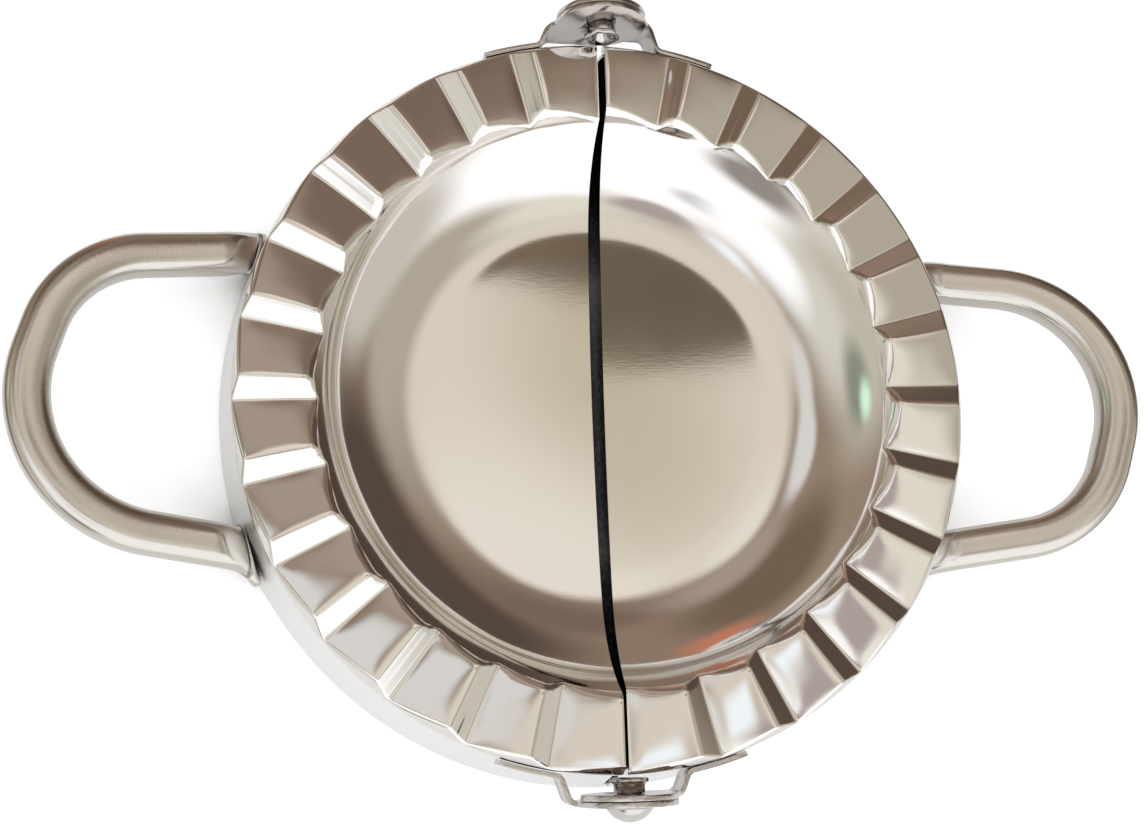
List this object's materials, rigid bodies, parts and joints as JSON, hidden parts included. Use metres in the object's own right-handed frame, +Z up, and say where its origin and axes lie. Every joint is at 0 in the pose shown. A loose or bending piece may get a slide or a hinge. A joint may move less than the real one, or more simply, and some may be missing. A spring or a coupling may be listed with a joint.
{
  "type": "empanada press",
  "caption": "Round hinged stainless steel dough press with two half bowls, a pleated crimping rim, a flared cutting ring and a loop handle on each half.",
  "frame": {"origin": "on the table under the middle of the hinge axis, with the press open and flat", "axes": "+X from the fixed half's handle to the folding half's handle, +Y along the hinge axis, +Z up from the table"},
  "size_m": [0.1504, 0.107, 0.0227],
  "materials": {
    "stamped_steel": "polished",
    "ring_steel": "fine brushed",
    "bar_steel": "satin",
    "plate_steel": "polished",
    "rivet_steel": "polished"
  },
  "bodies": {
    "left_half": {"left_bowl": "stamped_steel", "left_cutting_ring": "ring_steel", "left_handle": "bar_steel", "left_outer_hinge_plate": "plate_steel", "left_inner_hinge_plate": "plate_steel", "front_hinge_rivet": "rivet_steel", "back_hinge_rivet": "rivet_steel"},
    "right_half": {"right_bowl": "stamped_steel", "right_cutting_ring": "ring_steel", "right_handle": "bar_steel", "right_inner_hinge_plate": "plate_steel", "right_outer_hinge_plate": "plate_steel"}
  },
  "joints": [
    {"name": "fold", "type": "hinge", "parent": "left_half", "child": "right_half", "pos_m": [0, 0, 0.0167], "axis": [0, -1, 0], "range_deg": [0, 180]}
  ]
}
